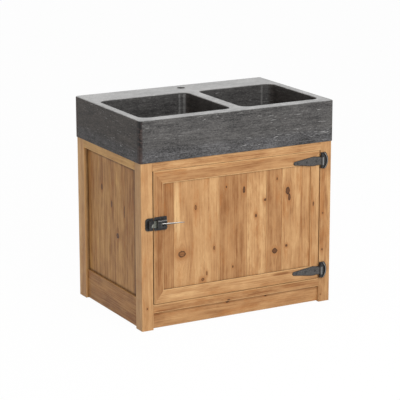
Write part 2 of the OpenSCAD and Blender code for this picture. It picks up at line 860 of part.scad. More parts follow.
// Coil spring between the bolt and the end of the case
module latch_spring() {
    sides = 6;
    steps = 12;
    gap = 0.3;
    mid_r = spring_r - spring_wire_r;
    run = spring_l - 2 * (gap + spring_wire_r);
    color(steel) on_front(bolt_end_x + gap + spring_wire_r, latch_z) translate([0, 0, bolt_mid_out])
        loft([for (i = [0:spring_turns * steps]) let (a = 360 * i / steps)
            [for (j = [0:sides - 1]) let (b = 360 * j / sides, r = mid_r + spring_wire_r * cos(b))
                [run * i / (spring_turns * steps) + spring_wire_r * sin(b), r * cos(a), r * sin(a)]]]);
}

// Lever: hub, tapering handle and the round end that draws the bolt
module latch_lever() {
    sides = 16;
    rings = 18;
    color(steel) on_front(lever_x, latch_z) translate([0, 0, lever_out]) difference() {
        union() {
            rotate([90, 0, 0]) cylinder(r = hub_r, h = hub_h, center = true);
            rotate([90, 0, 0]) linear_extrude(hub_h, center = true) {
                translate([0, -cam_reach]) circle(r = cam_r);
                polygon([[-1.5, -cam_reach], [1.5, -cam_reach], [2.2, 0], [-2.2, 0]]);
            }
            rotate([0, -lever_lean, lever_rise]) loft([for (i = [0:rings]) let (
                    t = i / rings,
                    round = sqrt(1 - pow(max(0, (t - 0.9) / 0.1), 2) * 0.96),
                    swell = 1 + 0.12 * sin(180 * t),
                    half_h = (lever_h + (lever_tip_h - lever_h) * t) * swell * round / 2,
                    half_t = (lever_t + (lever_tip_t - lever_t) * t) * round / 2)
                [for (j = [0:sides - 1]) let (a = 360 * j / sides)
                    [lever_l * t, half_h * cos(a), half_t * sin(a)]]]);
        }
        rotate([90, 0, 0]) cylinder(r = lever_pin_r + pin_play, h = hub_h + 2, center = true);
    }
}
module lever_pin() {
    half = case_h / 2 + 0.1;
    head = 1.2;
    color(iron) on_front(lever_x, latch_z) translate([0, 0, lever_out]) rotate([-90, 0, 0]) rotate_extrude()
        polygon([[0, -half - head], [lever_pin_r + head, -half - head], [lever_pin_r + head, -half],
            [lever_pin_r, -half], [lever_pin_r, half], [lever_pin_r + head, half],
            [lever_pin_r + head, half + head], [0, half + head]]);
}

// Keeper on the post: plate and a sloping nose whose mouth holds the bolt
module keeper() {
    round_r = 12;
    nose_x = keeper_w - nose_w - 1;
    mouth_x = keeper_w - bolt_throw - 4;
    lip_out = bolt_out + bolt_t + 0.6;
    color(iron) difference() {
        on_front(post_w - keeper_w, latch_z) difference() {
            union() {
                linear_extrude(base_t) difference() {
                    translate([0, -keeper_h / 2]) square([keeper_w, keeper_h]);
                    for (k = [-1, 1]) translate([0, k * keeper_h / 2]) rounding_corner(round_r, 1, -k);
                }
                rotate([90, 0, 0]) linear_extrude(nose_h, center = true)
                    polygon([[nose_x, 0], [keeper_w, 0], [keeper_w, nose_out - nose_slope],
                        [keeper_w - 4, nose_out - nose_slope + 1.5], [nose_x + 3, nose_out],
                        [nose_x, nose_out - 3]]);
            }
            block([mouth_x, -bolt_h / 2 - bolt_play, bolt_out - bolt_play],
                [keeper_w + eps, bolt_h / 2 + bolt_play, lip_out]);
            translate([0, 0, base_t]) linear_extrude(nose_out)
                polygon([[nose_x - eps, -nose_h / 2 - eps], [keeper_w + eps, -nose_h / 2 - eps],
                    [keeper_w + eps, nose_rise - nose_h / 2]]);
        }
        at_keeper_screws() plate_hole(base_t);
    }
}

// Screws, each kind as one group
module leaf_screws() {
    color(iron) at_leaf_screws() translate([0, 0, leaf_t]) wood_screw();
}
module strap_screws() {
    color(iron) at_strap_screws() translate([0, 0, strap_t]) wood_screw();
}
module latch_screws() {
    color(iron) at_latch_screws() translate([0, 0, base_t]) wood_screw();
}
module keeper_screws() {
    color(iron) at_keeper_screws() translate([0, 0, base_t]) wood_screw();
}

// A block with round upright corners and one rounded end: z = 0 is its rounded end.
// Four turned corners, joined by two bars whose section has the same rounding.
module rounded_block(w, d, h, corner_r, edge_r) {
    for (x = [corner_r, w - corner_r], y = [corner_r, d - corner_r])
        translate([x, y, 0]) rotate_extrude() rounded_side(corner_r, h, edge_r);
    translate([w / 2, corner_r, 0]) bar(w, d - 2 * corner_r, h, edge_r);
    translate([corner_r, d / 2, 0]) rotate(-90) bar(d, w - 2 * corner_r, h, edge_r);
}
module rounded_side(r, h, edge_r) {
    translate([0, edge_r]) square([r, h - edge_r]);
    square([r - edge_r, h]);
    translate([r - edge_r, edge_r]) intersection() {
        circle(r = edge_r);
        translate([0, -edge_r]) square(edge_r);
    }
}
module bar(w, l, h, edge_r) {
    rotate([90, 0, 180]) linear_extrude(l) for (k = [0, 1]) mirror([k, 0]) rounded_side(w / 2, h, edge_r);
}

// The stone that is cut away to round a bowl's upper edge
module flare(w, d, corner_r, edge_r) {
    for (x = [corner_r, w - corner_r], y = [corner_r, d - corner_r])
        translate([x, y, 0]) rotate_extrude() flare_side(corner_r, edge_r);
    translate([w / 2, corner_r, 0]) rotate([90, 0, 180]) linear_extrude(d - 2 * corner_r)
        for (k = [0, 1]) mirror([k, 0]) flare_side(w / 2, edge_r);
    translate([corner_r, d / 2, 0]) rotate(-90) rotate([90, 0, 180]) linear_extrude(w - 2 * corner_r)
        for (k = [0, 1]) mirror([k, 0]) flare_side(d / 2, edge_r);
}
module flare_side(r, edge_r) {
    difference() {
        translate([r - 1, -edge_r]) square([edge_r + 1, edge_r + 1]);
        translate([r + edge_r, -edge_r]) circle(r = edge_r);
    }
}

// A bowl with its waste, from its front left corner at the level of the rim
module bowl(w) {
    translate([0, 0, -bowl_depth]) rounded_block(w, bowl_d, bowl_depth + 1, bowl_corner_r, bowl_floor_r);
    flare(w, bowl_d, bowl_corner_r, bowl_edge_r);
    translate([w / 2, bowl_d / 2, -bowl_depth]) rotate_extrude() {
        polygon([[0, 1], [2.4 * waste_seat_r, 1], [2.4 * waste_seat_r, 0],
            [waste_seat_r, -bowl_fall], [0, -bowl_fall]]);
        translate([0, -bowl_fall - waste_seat_d]) square([waste_seat_r, waste_seat_d + 1]);
    }
    translate([w / 2, bowl_d / 2, -sink_h - 1]) cylinder(r = waste_r, h = sink_h - bowl_depth + 1);
}

module stone_sink() {
    color(stone) place() translate([-over_side, -over_front, cabinet_h + sink_h]) difference() {
        mirror([0, 0, 1]) rounded_block(sink_w, sink_d, sink_h, stone_corner_r, stone_edge_r);
        translate([rim_side, rim_front, 0]) bowl(left_bowl_w);
        translate([rim_side + left_bowl_w + divider_w, rim_front, 0]) bowl(right_bowl_w);
        translate([tap_x, sink_d - tap_back, -sink_h - 1]) cylinder(r = tap_r, h = sink_h + 2);
        translate([tap_x - tap_pocket_w / 2, sink_d - tap_back - tap_pocket_d / 2, -sink_h - 1])
            cube([tap_pocket_w, tap_pocket_d, sink_h + 1 - tap_ledge_t]);
    }
}

front_post(false);  // front_post_left
front_post(true);  // front_post_right
back_post(false);  // back_post_left
back_post(true);  // back_post_right
front_rail(top_rail_z, cabinet_h);  // front_top_rail
front_rail(sill_top - sill_h, sill_top);  // front_bottom_rail
plinth_board();
side_top_rail(false);  // side_top_rail_left
side_top_rail(true);  // side_top_rail_right
side_bottom_board(false);  // side_bottom_board_left
side_bottom_board(true);  // side_bottom_board_right
for (k = [0:len(side_board_shares) - 1]) {
    side_board(false, k);
    side_board(true, k);
}
back_rail(top_rail_z, cabinet_h, []);  // back_top_rail
back_rail(back_rail_z - back_mid_h / 2, back_rail_z + back_mid_h / 2, [back_rail_z - back_mid_h / 2]);  // back_middle_rail
back_rail(floor_gap, back_sill_top, [back_sill_top - groove_d]);  // back_bottom_rail
back_boards();
floor_boards();
floor_batten(false);  // floor_batten_left
floor_batten(true);  // floor_batten_right
sink_bearer();
door_stop();
door_stile(false);  // door_stile_latch
door_stile(true);  // door_stile_hinge
door_top_rail();
door_bottom_rail();
for (k = [0:len(door_board_shares) - 1])
    door_board(k);
hinge_leaf(hinge_zs[0]);  // hinge_leaf_upper
hinge_leaf(hinge_zs[1]);  // hinge_leaf_lower
hinge_strap(hinge_zs[0]);  // hinge_strap_upper
hinge_strap(hinge_zs[1]);  // hinge_strap_lower
hinge_pin(hinge_zs[0]);  // hinge_pin_upper
hinge_pin(hinge_zs[1]);  // hinge_pin_lower
leaf_screws();
strap_screws();
latch_case();
latch_back_sheet();
latch_bolt();
latch_spring();
latch_lever();
lever_pin();
latch_screws();
keeper();
keeper_screws();
stone_sink();
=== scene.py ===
import math

import bpy
import numpy as np
from mathutils import Euler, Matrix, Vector


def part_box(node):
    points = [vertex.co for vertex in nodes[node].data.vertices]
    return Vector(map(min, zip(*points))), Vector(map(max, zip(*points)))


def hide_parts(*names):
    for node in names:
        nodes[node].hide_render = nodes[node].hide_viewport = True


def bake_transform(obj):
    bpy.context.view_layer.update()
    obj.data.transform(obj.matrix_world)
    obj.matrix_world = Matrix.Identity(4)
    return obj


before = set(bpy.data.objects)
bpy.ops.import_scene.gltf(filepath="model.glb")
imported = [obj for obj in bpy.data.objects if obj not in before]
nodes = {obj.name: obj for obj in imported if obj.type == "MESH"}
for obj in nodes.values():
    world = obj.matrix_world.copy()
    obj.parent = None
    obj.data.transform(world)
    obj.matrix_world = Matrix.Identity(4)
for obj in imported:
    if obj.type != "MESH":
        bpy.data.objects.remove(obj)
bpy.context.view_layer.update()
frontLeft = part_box("front_post_left")[0]    # the cabinet's front left corner on the floor
print("frame loaded:", len(nodes), "nodes")


# A value wraps a socket, so that a sum written on values adds its Math nodes
class Value:
    def __init__(self, shader, socket):
        self.shader, self.socket = shader, socket

    def math(self, kind, *others):
        return self.shader.math(kind, self, *others)

    def __add__(self, other):
        return self.math("ADD", other)

    def __mul__(self, other):
        return self.math("MULTIPLY", other)

    __radd__, __rmul__ = __add__, __mul__

    def __sub__(self, other):
        return self.math("SUBTRACT", other)

    def __rsub__(self, other):
        return self.shader.math("SUBTRACT", other, self)

    def __truediv__(self, other):
        return self.math("DIVIDE", other)

    def __rtruediv__(self, other):
        return self.shader.math("DIVIDE", other, self)

    def __abs__(self):
        return self.math("ABSOLUTE")

    def fade(self, start, end):  # 0 at start, 1 at end, smooth between them
        return self.shader.node("ShaderNodeMapRange", {"interpolation_type": "SMOOTHSTEP"},
                                {"Value": self, "From Min": start, "From Max": end})

    def band(self, start, full, last, end):  # 1 from full to last, and 0 before start and after end
        return self.fade(start, full) * self.fade(end, last)


class Shader:
    def __init__(self, owner):  # a material or the world
        owner.use_nodes = True
        self.owner, self.tree = owner, owner.node_tree
        self.tree.nodes.clear()

    def node(self, kind, settings=None, sockets=(), out=0):
        made = self.tree.nodes.new(kind)
        for key, value in (settings or {}).items():
            if key == "stops":
                ramp = made.color_ramp
                while len(ramp.elements) < len(value):
                    ramp.elements.new(1.0)
                for stop, (place, colour) in zip(ramp.elements, value):
                    stop.position, stop.color = place, (*colour, 1.0)
            else:
                setattr(made, key, value)
        pairs = sockets.items() if isinstance(sockets, dict) else enumerate(sockets)
        for key, value in pairs:
            if isinstance(value, Value):
                self.tree.links.new(value.socket, made.inputs[key])
            else:
                made.inputs[key].default_value = value
        return Value(self, made.outputs[out])

    def math(self, kind, *terms):
        return self.node("ShaderNodeMath", {"operation": kind}, terms)

    def split(self, source):  # x, y and z of the shaded point or of its normal, in the object's own frame
        parts = self.node("ShaderNodeSeparateXYZ", None, [self.node("ShaderNodeTexCoord", None, (), source)])
        return [parts, *[Value(self, parts.socket.node.outputs[k]) for k in (1, 2)]]

    def noise(self, x, y, z, detail=3.0, rough=0.55, twist=0.0):
        where = self.node("ShaderNodeCombineXYZ", None, [x, y, z])
        return self.node("ShaderNodeTexNoise", {"noise_dimensions": "3D"},
                         {"Vector": where, "Scale": 1.0, "Detail": detail, "Roughness": rough,
                          "Distortion": twist})

    def cells(self, x, y, z):
        where = self.node("ShaderNodeCombineXYZ", None, [x, y, z])
        return self.node("ShaderNodeTexVoronoi", {"feature": "SMOOTH_F1"}, {"Vector": where, "Scale": 1.0})

    def ramp(self, value, stops):
        return self.node("ShaderNodeValToRGB", {"stops": stops}, [value])

    def mix(self, share, a, b, kind="MIX"):
        colours = [v if isinstance(v, Value) else (*v, 1.0) for v in (a, b)]
        return self.node("ShaderNodeMix", {"data_type": "RGBA", "blend_type": kind, "clamp_factor": True},
                         {0: share, 6: colours[0], 7: colours[1]}, 2)

    def bump(self, height, distance, strength):
        return self.node("ShaderNodeBump", None,
                         {"Height": height, "Distance": distance, "Strength": strength})

    def close(self, surface, kind="ShaderNodeOutputMaterial"):
        self.tree.links.new(surface.socket, self.tree.nodes.new(kind).inputs["Surface"])
        return self.owner

    def finish(self, **sockets):
        return self.close(self.node("ShaderNodeBsdfPrincipled", None,
                                    {key.replace("_", " "): value for key, value in sockets.items()}))


def newShader(name):
    return Shader(bpy.data.materials.new(name))


def dress(names, material):
    for name in names:
        slots = nodes[name].data.materials
        slots.clear()
        slots.append(material)


def length(a, b):
    return (a * a + b * b).math("SQRT")


pineLook = {
    "light": (0.665, 0.420, 0.200),     # sapwood
    "middle": (0.480, 0.262, 0.112),
    "dark": (0.245, 0.100, 0.032),      # heart streaks
    "depth": 0.38, "middleAt": 0.42,    # how deep a plain board's colour is, and the middle one, from 0 to 1
    "ring": 0.14, "broad": 0.85, "streak": 0.95, "fibre": 0.55, "patch": 1.00,     # how much each one darkens
    "red": (0.370, 0.140, 0.036), "redShare": 0.60,                # ruddy blushes
    "hair": (0.150, 0.052, 0.016), "hairShare": 0.75,              # hair cracks that hold the stain
    "poreShare": 0.30,
    "wax": (0.055, 0.023, 0.008), "waxReach": (0.013, 0.003),      # painted shade for corners and recesses, and metres from there
    "knotCore": (0.095, 0.036, 0.014), "knotEdge": (0.042, 0.017, 0.008), "knotHalo": (0.340, 0.140, 0.044),
    "haloReach": (3.4, 1.0), "coreShare": 0.90, "edgeShare": 0.85, "heartRings": 26.0,
    "knotPush": 1.4, "knotSqueeze": 0.42,   # how far a knot pushes the grain aside, and how short the bend is
    "arrisReach": (0.0045, 0.0020),     # metres from the long edges where a painted highlight lies on them
    "pith": (0.14, 0.05),               # metres from the board's middle to the log's, across and behind
    "ringStep": 0.0034,                 # metres from one year ring to the next
    "wander": 0.030, "waver": 0.0048,   # metres that the grain strays sideways, slowly and in short waves
    "boardSeeds": 7.31,                 # seeds from one board to the next in one node
    "roughness": 0.47, "sheen": 0.22, "relief": 0.0005,
}
bareLook = {**pineLook, "roughness": 0.66, "sheen": 0.15,       # unwaxed boards inside
            "light": (0.70, 0.49, 0.27), "middle": (0.56, 0.37, 0.195), "dark": (0.36, 0.20, 0.09)}

# Waves a metre across and along the grain, detail, roughness, and how many times the board's seed, a number
# that sets its pattern apart, is added across, behind and along
grainNoises = {
    "broad": (19.0, 1.7, 3.0, 0.68, (0.0, 2.3, 1.0)),
    "streak": (190.0, 3.0, 4.0, 0.70, (1.0, 0.0, 0.0)),
    "patch": (30.0, 10.0, 5.0, 0.68, (0.0, -1.0, 1.3)),
    "fibre": (640.0, 8.0, 3.0, 0.65, (0.0, 1.0, 0.0)),
    "pores": (1500.0, 34.0, 2.0, 0.55, (1.0, 0.0, 0.0)),
    "cracks": (360.0, 2.6, 3.0, 0.60, (-1.0, 0.0, 0.0)),
    "ragged": (210.0, 120.0, 3.0, 0.66, (1.0, 0.0, 0.0)),
}

plainBoard = {
    "grain": "z", "face": "y",      # the axis that the grain follows, and the one that the board faces
    "stain": 0.0,                   # deeper colour above 0, paler below
    "tone": (1.0, 1.0, 1.0),        # multiplies the finished colour
    "figure": 1.0,                  # contrast of bands, streaks and patches
    "coarse": 1.0,                  # how many times wider than usual the streaks are
    "pitch": 0.0,                   # width of one board where the node holds several
    "knots": (), "strewn": 0,       # knots in given places, or so many strewn ones
    "heart": "dark",                # dark knots, or pale ones with rings
    "marks": (),                    # long soft patches
    "waxed": (),                    # corners, each the place of its line on two axes, that get painted shade
    "arris": 0.22,                  # how strong the painted highlight on the long edges is
    "edge": 0.0,                    # how much painted shade the narrow sides get
    "look": pineLook,
}


# A board sawn from a log. The grain runs in lanes along it: lane = place across the board + slow wander,
# pushed aside by each knot as water is by a post, lane - c r^2 / (d^2 + r^2 / 4). Year rings are circles
# round the pith, drawn on the lane; broad bands, streaks and fibres are noises drawn out along the lanes.
def pine(name, box, seed, dice, board):
    board = {**plainBoard, **board}
    look, figure, grain, face = (board[key] for key in ("look", "figure", "grain", "face"))
    s = newShader(name)
    xyz = dict(zip("xyz", s.split("Object")))
    middle, half = dict(zip("xyz", (box[0] + box[1]) / 2)), dict(zip("xyz", (box[1] - box[0]) / 2))
    side = next(a for a in "xyz" if a not in (grain, face))
    along, across, deep = (xyz[a] - middle[a] for a in (grain, side, face))
    if board["pitch"]:  # each board gets its own part of the pattern
        seed = ((across + half[side]) / board["pitch"]).math("FLOOR") * look["boardSeeds"] + seed

    slow = s.noise(along * 1.3 + seed * 3.1, across * 3.0, seed * 1.7, 2.0)
    wave = s.noise(along * 6.0 + seed * 1.9, across * 14.0, seed + 0.3)
    lane = across + (slow - 0.5) * look["wander"] + (wave - 0.5) * look["waver"]
    near = None
    for spot in board["knots"] or strewn(box, board, side, dice):
        (c, wide), (a, tall) = spot[side], spot[grain]
        dc, da = across - (c - middle[side]), along - (a - middle[grain])
        squeezed = da * look["knotSqueeze"]
        reach = dc * dc + squeezed * squeezed + 0.25 * wide * wide
        lane = lane - dc * ((look["knotPush"] * wide * wide) / reach) * spot["depth"]
        far = length(dc / wide, da / tall) + (1.0 - spot["depth"]) * 0.7
        near = far if near is None else near.math("MINIMUM", far)

    def drawn(kind, over=lane, wider=1.0):
        wavesAcross, wavesAlong, detail, rough, shifts = grainNoises[kind]
        places = over * (wavesAcross / wider), deep * wavesAcross, along * wavesAlong
        return s.noise(*[p + seed * n if n else p for p, n in zip(places, shifts)], detail, rough)

    rings = length(lane + look["pith"][0], deep + look["pith"][1]) / look["ringStep"]
    late = rings.math("FRACT").band(0.20, 0.92, 0.94, 1.0)  # the dark outer part of each year
    yearTone = s.noise(rings.math("FLOOR") * 1.37, seed, 0.5, 0.0)
    broad, patch, fibre, pores = (drawn(kind) for kind in ("broad", "patch", "fibre", "pores"))
    streak = drawn("streak", wider=board["coarse"])

    busy = patch.fade(0.30, 0.70) * 1.3 + 0.35   # quiet and busy stretches
    depth = (look["depth"] + board["stain"] + (broad - 0.5) * (look["broad"] * figure)
             + (streak - 0.5) * busy * (look["streak"] * figure) + (patch - 0.5) * (look["patch"] * figure)
             + late * (yearTone + 0.2) * look["ring"] + (fibre - 0.5) * look["fibre"])
    for spot in board["marks"]:  # darker where its depth is above 0 and paler where it is below
        (c, wide), (a, tall) = spot[side], spot[grain]
        dc, da = (lane - (c - middle[side])) / wide, (along - (a - middle[grain])) / tall
        depth = depth + (dc * dc + da * da).fade(1.0, 0.05) * (streak + 0.5) * spot["depth"]
    colour = s.ramp(depth, [(0.0, look["light"]), (look["middleAt"], look["middle"]), (1.0, look["dark"])])
    blush = s.noise(lane * 24.0 + 9.0, seed * 2.0, along * 6.0 - seed, 5.0, 0.72)
    colour = s.mix(blush.fade(0.50, 0.72) * look["redShare"], colour, look["red"])
    cracks = drawn("cracks").fade(0.60, 0.70) * (patch + blush - 0.55).fade(0.25, 0.65)
    colour = s.mix(cracks * look["hairShare"], colour, look["hair"])

    if near is not None:
        near = near + (wave - 0.5) * 0.6 + (streak - 0.5) * 0.5 + (drawn("ragged", across) - 0.5) * 0.9
        colour = s.mix(near.fade(*look["haloReach"]) * (blush + 0.15), colour, look["knotHalo"])
        core = look["knotCore"]
        if board["heart"] == "pale":
            core = s.mix((near * look["heartRings"]).math("SINE").fade(-1.0, 1.0), core, look["knotHalo"])
        colour = s.mix(near.fade(1.0, 0.8) * look["coreShare"], colour, core)
        colour = s.mix(near.band(0.55, 0.86, 0.98, 1.22) * look["edgeShare"], colour, look["knotEdge"])
    colour = s.mix(pores.fade(0.63, 0.76) * look["poreShare"], colour, look["dark"])
    # a painted highlight along the long edges
    paintedHighlight = (half[side] - abs(across)).fade(*look["arrisReach"])
    colour = s.mix(paintedHighlight * board["arris"], colour, look["light"])
    # painted shade along the listed corners and recess lines
    for (a, placeA), (b, placeB) in board["waxed"]:
        corner = length(xyz[a] - placeA, xyz[b] - placeB).fade(*look["waxReach"])
        colour = s.mix(corner * (patch * 0.9 + 0.10), colour, look["wax"])
    # painted shade on the faces turned to the board's sides, as in the gaps
    if board["edge"]:
        turned = abs(dict(zip("xyz", s.split("Normal")))[side])
        colour = s.mix(turned.fade(0.80, 0.97) * board["edge"], colour, look["wax"])
    colour = s.mix(1.0, colour, board["tone"], "MULTIPLY")
    roughness = look["roughness"] + (fibre - 0.5) * 0.25 + (streak - 0.5) * 0.15
    relief = fibre * 0.5 - late * 0.3 + streak * 0.4 - pores.fade(0.60, 0.76) * 0.4
    return s.finish(Base_Color=colour, Roughness=roughness, Specular_IOR_Level=look["sheen"],
                    Normal=s.bump(relief, look["relief"], 0.6))


# Boards that the photo's view doesn't show get a few knots, strewn by the board's own seeded generator
strewnLook = {"wide": (0.003, 0.009), "stretch": (1.0, 1.8), "depth": (0.6, 1.0)}


def strewn(box, board, side, dice, look=strewnLook):
    grain = board["grain"]
    low, high = dict(zip("xyz", box[0])), dict(zip("xyz", box[1]))
    spots = []
    for _ in range(board["strewn"]):
        wide = float(dice.uniform(*look["wide"]))
        spots.append({side: (float(dice.uniform(low[side] + wide, high[side] - wide)), wide),
                      grain: (float(dice.uniform(low[grain], high[grain])),
                              wide * float(dice.uniform(*look["stretch"]))),
                      "depth": float(dice.uniform(*look["depth"]))})
    return spots


# A spot on the front is given from the left post's outer face and the floor, one on a flank from the
# front, in millimetres: its middle, its half width and half height, and how deep its colour goes
def front(x, z, wide, tall, depth):
    return {"x": (frontLeft.x + x / 1000, wide / 1000), "z": (z / 1000, tall / 1000), "depth": depth}


def flank(y, z, wide, tall, depth):
    return {"y": (frontLeft.y + y / 1000, wide / 1000), "z": (z / 1000, tall / 1000), "depth": depth}


# The left side's panel gets painted shade where it meets its frame, and a painted shadow beside the front
# post
lineFromPost, shadeBelowRail = 0.0352, 0.006      # metres
panelFace = ("x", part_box("side_board_left_1")[0].x)
backEdge = ("y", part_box("back_post_left")[0].y)
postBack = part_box("front_post_left")[1].y
panelShadeLines = [(panelFace, edge) for edge in (
    ("y", postBack), backEdge, ("z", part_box("side_bottom_board_left")[1].z),
    ("z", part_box("side_top_rail_left")[0].z - shadeBelowRail), ("y", postBack + lineFromPost))]

doorSidesShade = {"edge": 0.8}                    # painted shade on the narrow sides of the door's frame, as in the gaps round it
level = {"grain": "x"}                      # boards that lie level, from left to right
sideways = {"grain": "y", "face": "x"}      # boards that run from front to back
# On the left side the tone is a painted tint for its shade: less blue and a little less green than the front.
leftFlank = {"face": "x", "tone": (1.01, 0.95, 0.74), "figure": 1.2}
leftPanel = {**leftFlank, "coarse": 2.0, "waxed": panelShadeLines}

woodPieces = {
    "front_post_left": dict(knots=[front(24, 94, 3, 4, 0.9)], figure=0.8),
    "front_post_right": dict(stain=0.17, figure=1.4,
                             knots=[front(853, 388, 3.5, 3.5, 0.9), front(852, 229, 3.5, 6, 0.9),
                                    front(847, 32, 3, 3, 0.8)]),
    # painted shade in its corner at the panel, and a strong painted highlight on its arris
    "back_post_left": dict(face="x", stain=-0.16, tone=(1.06, 1.02, 0.96), arris=0.7,
                           waxed=[(panelFace, backEdge)]),
    "front_top_rail": dict(level, stain=0.11, figure=1.3,
                           marks=[front(527, 659, 60, 5, 0.35), front(200, 680, 90, 9, -0.2)]),
    "front_bottom_rail": dict(level, stain=0.26, figure=1.2, arris=0.5, knots=[front(400, 75, 9, 4, 0.8)],
                              marks=[front(300, 96, 160, 5, -0.2), front(560, 84, 90, 4, 0.4),
                                     front(90, 78, 40, 4, 0.5)]),
    "plinth_board": dict(level, stain=0.18, knots=[front(584, 62, 6, 3, 0.6), front(401, 63, 9, 5, 0.7)],
                         marks=[front(80, 40, 40, 30, 0.25)]),
    # its pale mark along the top left edge is a painted highlight
    "door_top_rail": dict(level, **doorSidesShade, stain=0.18, arris=0.7,
                          marks=[front(430, 628, 170, 12, 0.2), front(240, 648, 130, 6, -0.35)]),
    "door_bottom_rail": dict(level, **doorSidesShade, stain=0.08, arris=0.5,
                             marks=[front(190, 128, 90, 12, -0.3), front(650, 148, 50, 8, 0.35)]),
    "door_stile_latch": dict(doorSidesShade, stain=0.30, arris=0.4, marks=[front(78, 300, 12, 170, 0.2)]),
    "door_stile_hinge": dict(knots=[front(805, 434, 3.5, 10, 0.85)], marks=[front(803, 480, 5, 50, 0.5)]),
    "door_board_1": dict(stain=0.36, figure=0.8),
    "door_board_2": dict(figure=0.8, heart="pale", marks=[front(170, 480, 16, 170, -0.4)],
                         knots=[front(187, 299, 15, 12, 1.0), front(250, 485, 4.5, 10, 0.9),
                                front(335, 305, 4, 10, 0.7), front(301, 201, 3.5, 9, 0.8),
                                front(282, 178, 7, 7, 0.9)]),
    "door_board_3": dict(stain=0.26, figure=0.85,
                         marks=[front(462, 320, 12, 120, 0.3), front(440, 300, 5, 90, 0.25)],
                         knots=[front(423, 213, 4, 7, 0.5), front(392, 554, 3.5, 7, 0.6),
                                front(475, 532, 5.5, 14, 0.8)]),
    "door_board_4": dict(stain=-0.04, figure=1.3,
                         knots=[front(577, 478, 7, 5, 0.9), front(532, 416, 4.5, 7, 0.8)]),
    "door_board_5": dict(stain=0.22, knots=[front(623, 253, 11, 10, 1.0), front(632, 560, 4, 8, 0.5)]),
    "door_board_6": dict(marks=[front(748, 390, 6, 150, 0.35)],
                         knots=[front(684, 503, 9, 15, 1.0), front(692, 474, 6, 15, 0.95),
                                front(680, 268, 5.5, 6, 0.8)]),
    "side_top_rail_left": dict(leftFlank, grain="y", stain=-0.22),
    "side_board_left_1": dict(leftPanel, stain=0.18, marks=[flank(130, 500, 8, 160, 0.25)]),
    "side_board_left_2": dict(leftPanel, stain=0.12,
                              marks=[flank(185, 330, 10, 200, 0.35), flank(261, 590, 5, 60, -0.35)],
                              knots=[flank(181, 457, 7, 26, 1.0), flank(249, 340, 11, 10, 1.0),
                                     flank(302, 463, 6, 15, 1.0)]),
    "side_board_left_3": dict(leftPanel, stain=0.06, knots=[flank(393, 517, 7, 13, 1.0)],
                              marks=[flank(392, 590, 5, 70, 0.7), flank(423, 600, 7, 60, -0.3)]),
    "side_board_left_4": dict(leftPanel, stain=0.06, marks=[flank(500, 300, 16, 170, 0.35)]),
    "side_bottom_board_left": dict(leftFlank, grain="y", stain=0.27),
    "door_stop": dict(stain=0.1),
    "back_post_right": dict(face="x", figure=0.8, strewn=2),
    "side_top_rail_right": dict(sideways, strewn=1),
    "side_bottom_board_right": dict(sideways, stain=0.1, strewn=2),
    "back_top_rail": dict(level, strewn=1),
    "back_middle_rail": dict(level, stain=0.1, strewn=2),
    "back_bottom_rail": dict(level, stain=0.05, strewn=2),
    "back_boards": dict(pitch=0.131, strewn=5, look=bareLook),
    "floor_boards": dict(level, face="z", pitch=0.131, strewn=5, look=bareLook),
    "floor_batten_left": dict(sideways, look=bareLook),
    "floor_batten_right": dict(sideways, look=bareLook),
    "sink_bearer": dict(level, face="z", strewn=2, look=bareLook),
}
for number, stain in enumerate((0.20, 0.02, 0.24, 0.10), 1):
    woodPieces[f"side_board_right_{number}"] = dict(face="x", stain=stain, figure=1.3, strewn=2)

firstSeed, seedStep, firstDice = 1.0, 2.37, 400
for index, (piece, board) in enumerate(woodPieces.items()):
    seed, dice = firstSeed + seedStep * index, np.random.default_rng(firstDice + index)
    dress([piece], pine("pine " + piece.replace("_", " "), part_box(piece), seed, dice, board))
print("pine boards dressed:", len(woodPieces))


stoneLook = {
    "dark": (0.019, 0.018, 0.018), "light": (0.132, 0.126, 0.121),
    "shade": 0.42, "contrast": {"bed": 1.1, "thin": 1.2, "cloud": 0.8, "speckle": 1.3, "grit": 0.9},
    "ends": (0.80, 0.72, 0.66),                         # painted shade: the faces turned to the ends are darker
    "blue": (0.135, 0.134, 0.142), "footShare": 0.55,   # bluish towards the foot
    "foot": (0.105, 0.140),                             # metres below the top where that begins and is full
    "fleck": (0.36, 0.355, 0.345), "fleckShare": 0.75,
    "rust": (0.048, 0.028, 0.023), "rustShare": 0.80, "notch": (0.009, 0.008, 0.008),   # chipped corners
    "chipAcross": (0.020, 0.011), "chipBack": (0.036, 0.020), "notchDrop": (0.160, 0.090),      # metres
    "chipReach": (0.008, 0.012),                        # metres that the chips' noise moves those
    "bowlShade": 0.30,                                  # painted shade: the bowls are a little darker inside
    "bowlFrom": (0.012, 0.017), "bowlDrop": (0.003, 0.008),     # metres from outside and from the top
    "rim": (0.190, 0.188, 0.186), "rimPale": (0.360, 0.355, 0.350),
    "rimContrast": {"cloud": 2.2, "brushed": 1.5, "blotch": 2.3, "grit": 0.8},
    "rimDrop": (0.008, 0.003),                          # metres below the top where the honed rim ends
    "paleBack": (0.20, 0.10), "paleBackShare": 0.30,    # metres from the back where the rim turns paler
    "crumb": (0.72, 0.71, 0.69), "crumbShare": 0.7,
    "crumbX": (0.26, 0.02), "crumbY": (0.22, 0.02),     # metres from the back left corner
    "vein": (0.50, 0.50, 0.49), "veinShare": 0.4,
    "paintedHighlight": ((-0.016, 0.55), (-0.035, 0.35), (0.369, 0.35)),  # painted reflections, pale upright strips in the bowls: x, share
    "bowlBack": 0.1518,                                 # metres from the stone's back to the wall they are on
    "stripHalf": (0.007, 0.001), "stripDeep": (0.040, 0.015),
    "roughness": 0.62, "bowlRoughness": 0.40, "honedDrop": 0.22, "sheen": 0.3, "relief": 0.0022,
}

